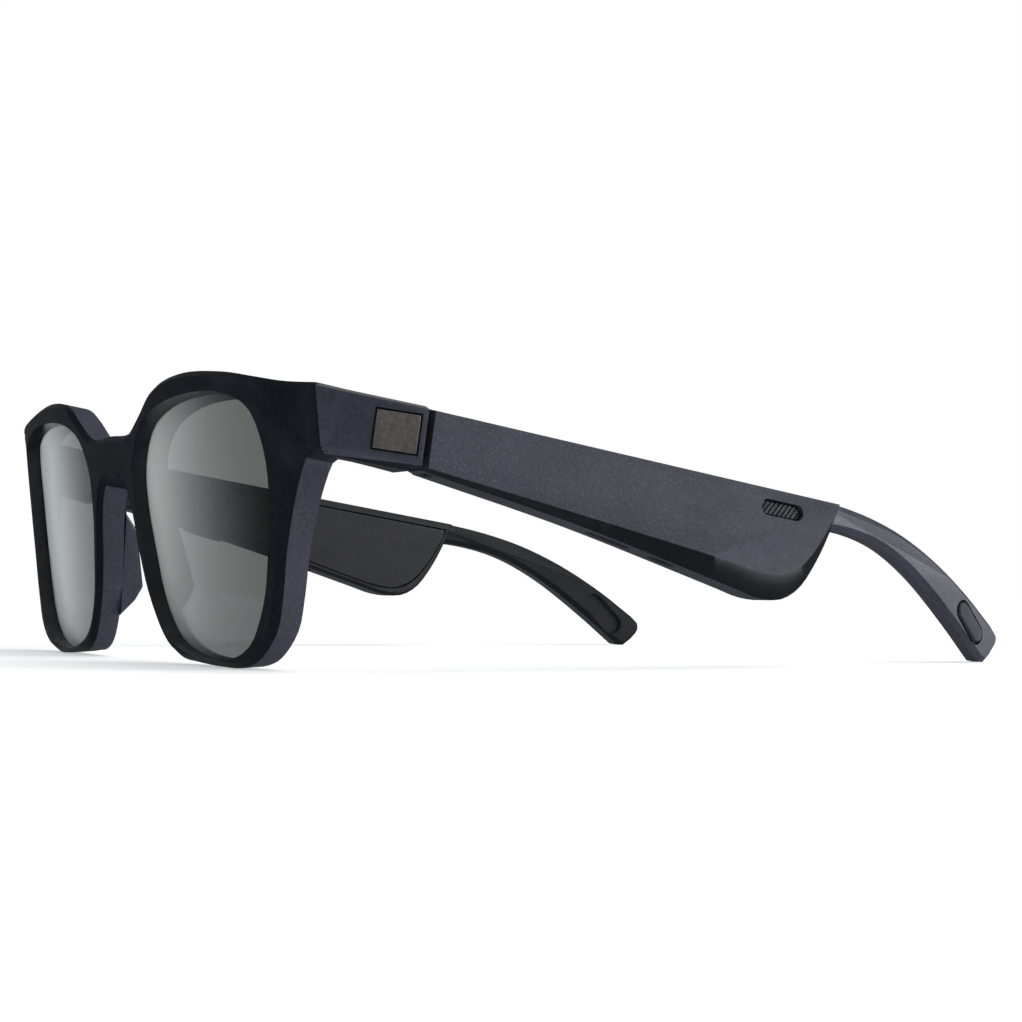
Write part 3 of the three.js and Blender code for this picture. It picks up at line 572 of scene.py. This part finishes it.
NICKEL = Metal("dark_nickel", (0.05, 0.05, 0.052), (0.09, 0.09, 0.095), 0.3)
MESH = Gauze("port_gauze", (0.06, 0.062, 0.07), (0.004, 0.004, 0.005))
RIBS = Ribbed("fine_ribs", (0.075, 0.08, 0.098), (0.004, 0.004, 0.006))
# Each lens has a pale painted reflection at one end, more opaque, fading into its own dark grey-green
# tint.
LENSES = {
    side: SunTint(
        f"grey_green_lens_{side.tag}", (0.93, 0.985, 0.96), (0.007, 0.010, 0.009), 0.80, 0.655,
        PAINTED_REFLECTION_START[side.name] * MM, (PAINTED_REFLECTION_START[side.name] + LENS_SPAN) * MM,
    )
    for side in Side
}
BOARD = Board("circuit_board")


@dataclass
class Shelf:
    """The materials that have been made, one for each finish."""

    made: dict[str, bpy.types.Material] = field(default_factory=dict)

    def get(self, finish: Finish) -> bpy.types.Material:
        """Gives a finish's material, made once.

        Args:
            finish: the finish.

        Returns:
            Its material.
        """
        if finish.name not in self.made:
            self.made[finish.name] = finish.build()
        return self.made[finish.name]


SHELF = Shelf()


# ------------------------------------------------------------------ bench: mesh work
class Bench:
    """The hand tools: selecting, copying, shaping and finishing meshes."""

    @staticmethod
    def clear() -> None:
        """Deselects everything."""
        bpy.ops.object.select_all(action="DESELECT")

    @staticmethod
    def take(piece: bpy.types.Object) -> None:
        """Selects one piece and makes it active."""
        Bench.clear()
        piece.select_set(True)
        bpy.context.view_layer.objects.active = piece

    @staticmethod
    def copy(node: str, name: str) -> bpy.types.Object:
        """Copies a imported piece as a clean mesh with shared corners.

        Args:
            node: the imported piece.
            name: the copy's name.

        Returns:
            The copy, at the origin.
        """
        source = frame["nodes"][node]
        Bench.take(source)
        bpy.ops.object.duplicate()
        piece = bpy.context.active_object
        bpy.ops.object.parent_clear(type="CLEAR_KEEP_TRANSFORM")
        piece.name = name
        piece.data.name = name
        piece.hide_render = False
        for key in list(piece.keys()):
            if key.startswith("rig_"):
                del piece[key]
        if piece.data.has_custom_normals:
            bpy.ops.mesh.customdata_custom_splitnormals_clear()
        bpy.ops.object.mode_set(mode="EDIT")
        bpy.ops.mesh.select_all(action="SELECT")
        bpy.ops.mesh.remove_doubles(threshold=0.01 * MM)
        bpy.ops.mesh.dissolve_limited(angle_limit=math.radians(0.4))
        bpy.ops.object.mode_set(mode="OBJECT")
        return piece

    @staticmethod
    def apply(piece: bpy.types.Object, kind: str, **settings: object) -> None:
        """Adds one modifier and applies it.

        Args:
            piece: the piece.
            kind: the modifier's type.
            settings: its properties.
        """
        Bench.take(piece)
        made = piece.modifiers.new(kind.lower(), kind)
        for key, value in settings.items():
            setattr(made, key, value)
        bpy.ops.object.modifier_apply(modifier=made.name)

    @staticmethod
    def soften(
        piece: bpy.types.Object, width: float, steps: int = 2, angle: float = 32
    ) -> bpy.types.Object:
        """Rounds a piece's edges and shades it smoothly.

        Args:
            piece: the piece.
            width: how far each edge is cut back.
            steps: how many faces round an edge.
            angle: edges that turn more than this many degrees are rounded.

        Returns:
            The piece.
        """
        Bench.take(piece)
        bpy.ops.object.shade_smooth()
        if width > 0:
            Bench.apply(
                piece, "BEVEL", width=width, segments=steps, limit_method="ANGLE",
                angle_limit=math.radians(angle), use_clamp_overlap=True, harden_normals=False,
                miter_outer="MITER_ARC",
            )
        Bench.mark_edges(piece)
        Bench.take(piece)
        bpy.ops.object.shade_smooth_by_angle(angle=math.radians(angle))
        Bench.apply(piece, "WEIGHTED_NORMAL", keep_sharp=True, weight=90)
        return piece

    @staticmethod
    def mark_edges(piece: bpy.types.Object) -> None:
        """Stores how sharply the surface turns at each point, for colouring sharp edges lighter."""
        mesh = bmesh.new()
        mesh.from_mesh(piece.data)
        mesh.normal_update()
        turns = []
        for vert in mesh.verts:
            shared = [edge for edge in vert.link_edges if len(edge.link_faces) == 2]
            widest = max((edge.calc_face_angle(0.0) for edge in shared), default=0.0)
            turns.append(min(1.0, max(0.0, (widest - SHARP_FROM) / SHARP_SPAN)))
        mesh.free()
        layer = piece.data.attributes.get("edge") or piece.data.attributes.new("edge", "FLOAT", "POINT")
        layer.data.foreach_set("value", turns)

    @staticmethod
    def dress(piece: bpy.types.Object, *finishes: Finish) -> None:
        """Puts finishes in a piece's slots, in order."""
        piece.data.materials.clear()
        for finish in finishes:
            piece.data.materials.append(SHELF.get(finish))

    @staticmethod
    def paint(piece: bpy.types.Object, slot: int, test: FaceTest) -> None:
        """Gives faces another slot.

        Args:
            piece: the piece.
            slot: the slot's number.
            test: says from a face's middle and normal whether it takes that slot.
        """
        for face in piece.data.polygons:
            if test(face.center, face.normal):
                face.material_index = slot

    @staticmethod
    def stand_for(piece: bpy.types.Object, node: str, body: str) -> None:
        """Puts a piece in the place of a packed one and reports it.

        Args:
            piece: the new piece.
            node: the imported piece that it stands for.
            body: the body that it moves with.
        """
        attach(piece, body)
        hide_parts(node)
        log.info("%s stands for %s on %s, %d faces", piece.name, node, body, len(piece.data.polygons))


def dress_node(node: str, finish: Finish) -> None:
    """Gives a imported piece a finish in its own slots.

    Args:
        node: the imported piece.
        finish: its finish.
    """
    piece = frame["nodes"][node]
    material = SHELF.get(finish)
    if not piece.material_slots:
        piece.data.materials.append(material)
    for slot in piece.material_slots:
        slot.material = material
    log.info("%s keeps its shape and takes %s", node, finish.name)


# ------------------------------------------------------------------ sub-assemblies
@dataclass
class Front:
    """The glossy front with its lenses and the blank plaques on its endpieces."""

    edge_round: float = 0.14 * MM
    lens_round: float = 0.08 * MM
    side_start: float = 66.5 * MM

    def build(self) -> None:
        """Makes and dresses the front's pieces."""
        self.shell()
        for side in Side:
            self.lens(side)
            self.plaque(side)

    def shell(self) -> None:
        """Makes the front's moulding, with its outer rim walls and the side faces behind the corners
        painted paler as side light.
        """
        shell = Bench.copy("front_frame", "front_shell")
        Bench.soften(shell, self.edge_round, 2)
        Bench.dress(shell, GLOSS_FRONT, FRONT_SIDE_PAINTED_LIGHT, RIM_WALL_PAINTED_LIGHT)
        # Outer rim walls: painted side light.
        Bench.paint(shell, 2, self.is_rim_wall)
        # Side faces behind the corners: painted side light.
        Bench.paint(
            shell, 1,
            lambda middle, normal: abs(middle.x) > self.side_start and abs(normal.x) > 0.75,
        )
        Bench.stand_for(shell, "front_frame", "front")

    def is_rim_wall(self, middle: Vector, normal: Vector) -> bool:
        """Says whether a face is on the outer wall of a rim, which faces away from its lens.

        Args:
            middle: the face's middle.
            normal: its normal.

        Returns:
            True on the outer walls, which are painted paler as side light.
        """
        low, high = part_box("lens_left" if middle.x > 0 else "lens_right")
        away = middle - (low + high) / 2
        away.y = 0
        return (
            abs(normal.y) < 0.5 and away.normalized().dot(normal) > 0.3
            and abs(middle.x) < self.side_start
        )

    def lens(self, side: Side) -> None:
        """Makes one lens with a soft rim."""
        lens = Bench.copy(f"lens_{side.tag}", f"sun_lens_{side.tag}")
        Bench.soften(lens, self.lens_round, 2, 40)
        Bench.dress(lens, LENSES[side])
        Bench.stand_for(lens, f"lens_{side.tag}", "front")

    def plaque(self, side: Side) -> None:
        """Makes one blank plaque with rounded edges."""
        node = f"endpiece_inlay_{side.tag}"
        plaque = Bench.copy(node, f"plaque_{side.tag}")
        Bench.soften(plaque, 0.12 * MM, 3)
        Bench.dress(plaque, PLAQUE)
        Bench.stand_for(plaque, node, "front")


@dataclass
class Hinge:
    """One hinge: two leaves, the screw on its axis and the screws in its leaves."""

    side: Side
    edge_round: float = 0.06 * MM

    def build(self) -> None:
        """Makes and dresses the hinge's pieces."""
        tag = self.side.tag
        temple = f"temple_{tag}"
        for node, body, slot in (
            (f"hinge_front_leaf_{tag}", "front", "hinge_leaf"),
            (f"hinge_temple_leaf_{tag}", temple, "hinge_leaf"),
            (f"hinge_screw_{tag}", "front", "small_screw"),
            (f"front_leaf_screw_{tag}", "front", "small_screw"),
            (f"temple_leaf_screw_{tag}", temple, "small_screw"),
        ):
            piece = Bench.copy(node, f"steel_{node}")
            Bench.soften(piece, self.edge_round, 2, 40)
            Bench.dress(piece, STEEL)
            Bench.stand_for(piece, node, body)


@dataclass
class Temple:
    """One temple: housing with its ear hook, inner cover, ports, badge and insides."""

    side: Side
    edge_round: float = 0.14 * MM
    lobe_rear: float = 8 * MM

    @property
    def body(self) -> str:
        """The body that the temple's pieces move with."""
        return f"temple_{self.side.tag}"

    def build(self) -> None:
        """Makes and dresses the temple's pieces."""
        tag = self.side.tag
        self.housing()
        for node, finish, slot, width in (
            (f"temple_inner_cover_{tag}", INNER_BLACK, "temple_inner_cover", 0.1 * MM),
            (f"tip_badge_{tag}", BADGE, "tip_badge", 0.12 * MM),
            (f"rear_port_mesh_{tag}", RIBS, "port_mesh", 0.05 * MM),
        ):
            piece = Bench.copy(node, f"{slot}_shape_{tag}")
            Bench.soften(piece, width, 2)
            Bench.dress(piece, finish)
            Bench.stand_for(piece, node, self.body)
        for node, finish in (
            ("sound_port_mesh", MESH), ("vent_port_mesh", MESH), ("battery", FOIL),
            ("circuit_board", BOARD), ("speaker_driver", SPEAKER), ("speaker_gasket", RUBBER),
        ):
            dress_node(f"{node}_{tag}", finish)

    def housing(self) -> None:
        """Makes the housing: slate face, black chamfer, dark inner side, an underside painted paler as
        floor bounce light and a hook face painted lighter as a reflection.
        """
        node = f"temple_housing_{self.side.tag}"
        shell = Bench.copy(node, f"temple_shell_{self.side.tag}")
        Bench.soften(shell, self.edge_round, 2)
        Bench.dress(shell, SATIN_SLATE, CHAMFER_BLACK, UNDERSIDE_PAINTED_BOUNCE, INNER_BLACK, HOOK_PAINTED_REFLECTION)
        low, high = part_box(node)
        outer = high.x if self.side is Side.LEFT else -low.x
        sign = self.side.value
        lobe_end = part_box(f"speaker_driver_{self.side.tag}")[1].y + self.lobe_rear
        Bench.paint(
            shell, 1,
            lambda middle, normal: normal.x * sign > 0.03 and normal.z < -0.3
            and abs(middle.x) > outer - 13 * MM and middle.y < lobe_end,
        )
        # Underside: painted bounce light from the floor.
        Bench.paint(shell, 2, lambda middle, normal: normal.z < -0.7 and abs(normal.x) < 0.03)
        # Ear hook's outer face: painted reflection of the pale surroundings.
        Bench.paint(shell, 4, lambda middle, normal: middle.y > lobe_end and normal.x * sign > 0.2)
        Bench.paint(shell, 3, lambda middle, normal: normal.x * sign < -0.5)
        Bench.stand_for(shell, node, self.body)


@dataclass
class Controls:
    """What only the right temple has: button, switch, charging contacts and status light."""

    edge_round: float = 0.1 * MM

    def build(self) -> None:
        """Makes and dresses the controls."""
        for node, finish, slot, body in (
            ("control_button_right", KEY_BLACK, "control_button", "button"),
            ("charging_block_right", INNER_BLACK, "charging_block", "temple_right"),
            ("charging_contact_front_right", NICKEL, "charging_contact", "temple_right"),
            ("charging_contact_rear_right", NICKEL, "charging_contact", "temple_right"),
            ("status_light_pin_right", PIN, "status_light_pin", "temple_right"),
        ):
            piece = Bench.copy(node, f"rounded_{node}")
            Bench.soften(piece, self.edge_round, 2)
            Bench.dress(piece, finish)
            Bench.stand_for(piece, node, body)
        dress_node("button_switch_right", STEEL)


# ------------------------------------------------------------------ studio
@dataclass(frozen=True)
class SoftBox:
    """A square soft light: where it hangs, what it aims at, its side and its watts."""

    name: str
    place: Rgb
    aim: Rgb
    size: float
    power: float

    def hang(self) -> None:
        """Adds the light to the scene."""
        light = bpy.data.lights.new(self.name, "AREA")
        light.size, light.energy = self.size, self.power
        lamp = bpy.data.objects.new(self.name, light)
        bpy.context.scene.collection.objects.link(lamp)
        lamp.location = self.place
        aim = Vector(self.aim) - Vector(self.place)
        lamp.rotation_euler = aim.to_track_quat("-Z", "Y").to_euler()


@dataclass
class Studio:
    """The pale floor, the soft lights and the camera."""

    eye: Rgb = (0.31726, -0.19848, 0.0124)
    azimuth: float = 57.24
    rise: float = 2.56
    roll: float = 0.557
    lens: float = 65.4
    floor_size: float = 40.0

    soft_boxes: tuple["SoftBox", ...] = (
        SoftBox("overhead", (0.35, 0.3, 1.3), (0, 0, 0), 1.2, 11.0),
        SoftBox("rear", (1.15, 1.5, 0.45), (0.05, 0.02, 0.02), 0.9, 27.0),
    )

    def build(self) -> None:
        """Makes the stage."""
        self.floor()
        self.surroundings()
        self.lights()
        self.camera()
        bpy.context.scene.view_settings.view_transform = "Standard"

    def floor(self) -> None:
        """Lays a wide pale floor that a gloss surface doesn't mirror."""
        Bench.clear()
        bpy.ops.mesh.primitive_plane_add(size=self.floor_size, location=(0, 0, -0.05 * MM))
        floor = bpy.context.active_object
        floor.name = "floor"
        bpy.ops.object.transform_apply(location=True, rotation=True, scale=True)
        s = Shader("pale_floor")
        tone = s.noise(3, 3).spread(0.3, 0.7, 0, 1)
        s.set(Base_Color=s.mix(tone, (0.86, 0.86, 0.865), (0.9, 0.9, 0.9)), Roughness=0.9,
              Specular_IOR_Level=0.1)
        away = s.node("ShaderNodeVectorMath", {"operation": "LENGTH"}, {0: s.place})
        glow = Value(s, away.outputs["Value"]).spread(0.3, 1.6, 0.45, 0.85)
        s.set(Emission_Color=s.mix(glow, (0.0, 0.0, 0.0), (1.0, 1.0, 1.0)), Emission_Strength=1.0)
        floor.data.materials.append(s.material)
        floor.visible_glossy = False

    def surroundings(self) -> None:
        """Fills the room with pale light, dimmer where gloss mirrors it."""
        world = bpy.data.worlds.new("room")
        bpy.context.scene.world = world
        world.use_nodes = True
        tree = world.node_tree
        tree.nodes.clear()
        path = tree.nodes.new("ShaderNodeLightPath")
        seen, around, mirrored = (
            self.glow(tree, colour, strength)
            for colour, strength in (
                ((1.0, 1.0, 1.0), 1.0), ((0.92, 0.94, 1.0), 0.22), ((0.88, 0.91, 1.0), 0.09)
            )
        )
        dim = tree.nodes.new("ShaderNodeMixShader")
        both = tree.nodes.new("ShaderNodeMixShader")
        out = tree.nodes.new("ShaderNodeOutputWorld")
        tree.links.new(path.outputs["Is Glossy Ray"], dim.inputs[0])
        tree.links.new(around.outputs[0], dim.inputs[1])
        tree.links.new(mirrored.outputs[0], dim.inputs[2])
        tree.links.new(path.outputs["Is Camera Ray"], both.inputs[0])
        tree.links.new(dim.outputs[0], both.inputs[1])
        tree.links.new(seen.outputs[0], both.inputs[2])
        tree.links.new(both.outputs[0], out.inputs[0])

    @staticmethod
    def glow(tree: bpy.types.NodeTree, colour: Rgb, strength: float) -> bpy.types.Node:
        """Adds one background light to the room.

        Args:
            tree: the room's nodes.
            colour: the light's colour.
            strength: how bright it is.

        Returns:
            The Background node.
        """
        made = tree.nodes.new("ShaderNodeBackground")
        made.inputs[0].default_value = (*colour, 1)
        made.inputs[1].default_value = strength
        return made

    def lights(self) -> None:
        """Hangs the soft boxes."""
        for box in self.soft_boxes:
            box.hang()

    def camera(self) -> None:
        """Sets the camera low in front of the wearer's left side."""
        data = bpy.data.cameras.new("camera")
        data.lens, data.sensor_width = self.lens, 36.0
        data.clip_start, data.clip_end = 0.01, 50
        camera = bpy.data.objects.new("camera", data)
        bpy.context.scene.collection.objects.link(camera)
        az, el = math.radians(self.azimuth), math.radians(self.rise)
        ahead = Vector((-math.sin(az) * math.cos(el), math.cos(az) * math.cos(el), math.sin(el)))
        right = ahead.cross(Vector((0, 0, 1))).normalized()
        up = right.cross(ahead)
        turn = math.radians(self.roll)
        r = right * math.cos(turn) + up * math.sin(turn)
        u = up * math.cos(turn) - right * math.sin(turn)
        basis = Matrix((r, u, -ahead)).transposed().to_4x4()
        camera.matrix_world = Matrix.Translation(self.eye) @ basis
        bpy.context.scene.camera = camera


def main() -> None:
    """Builds the sub-assemblies in order."""
    logging.basicConfig(level=logging.INFO, format="%(name)s: %(message)s")
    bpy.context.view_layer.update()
    Front().build()
    for side in Side:
        Hinge(side).build()
        Temple(side).build()
    Controls().build()
    Studio().build()
    Bench.clear()
    log.info("done")


if __name__ == "__main__":
    main()
